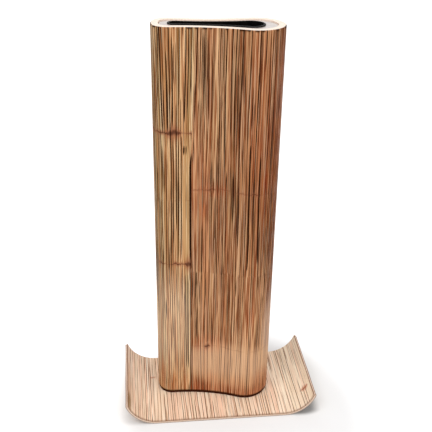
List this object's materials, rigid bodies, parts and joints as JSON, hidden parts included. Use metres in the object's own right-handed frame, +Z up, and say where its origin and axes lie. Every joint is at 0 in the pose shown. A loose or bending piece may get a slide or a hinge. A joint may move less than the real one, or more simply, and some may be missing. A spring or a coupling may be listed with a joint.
{
  "type": "bamboo vase",
  "caption": "Tall bamboo vase with a waisted oval section, a lift-out black liner and a saucer tray with turned-up ends.",
  "frame": {"origin": "middle of the tray's flat underside, which rests on the table", "axes": "+X along the tray towards the vase's large round end, +Y to the rear of the tray, +Z up along the vase"},
  "size_m": [0.2506, 0.133, 0.504],
  "materials": {
    "tray_bamboo": "crushed bamboo under satin lacquer, pale",
    "tray_ply": "pale bamboo ply",
    "vase_bamboo": "crushed bamboo with dark resin in its cracks, glossy lacquer",
    "wall_core": "pale bent bamboo ply, sanded edge",
    "base_board": "plywood",
    "foot_pad": "matt",
    "collar": "pale lilac grey, gloss",
    "liner": "black, gloss"
  },
  "bodies": {
    "tray": {"tray_core": "tray_ply", "tray_face_middle_sheet": "tray_bamboo", "tray_face_left_sheet": "tray_bamboo", "tray_face_right_sheet": "tray_bamboo", "tray_back_middle_sheet": "tray_bamboo", "tray_back_left_sheet": "tray_bamboo", "tray_back_right_sheet": "tray_bamboo"},
    "vase": {"foot_pad": "foot_pad", "small_end_sheet": "vase_bamboo", "front_sheet": "vase_bamboo", "rear_sheet": "vase_bamboo", "front_core": "wall_core", "rear_core": "wall_core", "base_board": "base_board", "collar_ledge": "base_board", "rim_collar": "collar"},
    "liner": {"liner": "liner"}
  },
  "joints": [
    {"name": "vase_lift", "type": "slide", "parent": "tray", "child": "vase", "axis": [0, 0, 1], "range_m": [0, 0.06]},
    {"name": "liner_lift", "type": "slide", "parent": "vase", "child": "liner", "axis": [0, 0, 1], "range_m": [0, 0.5]}
  ]
}
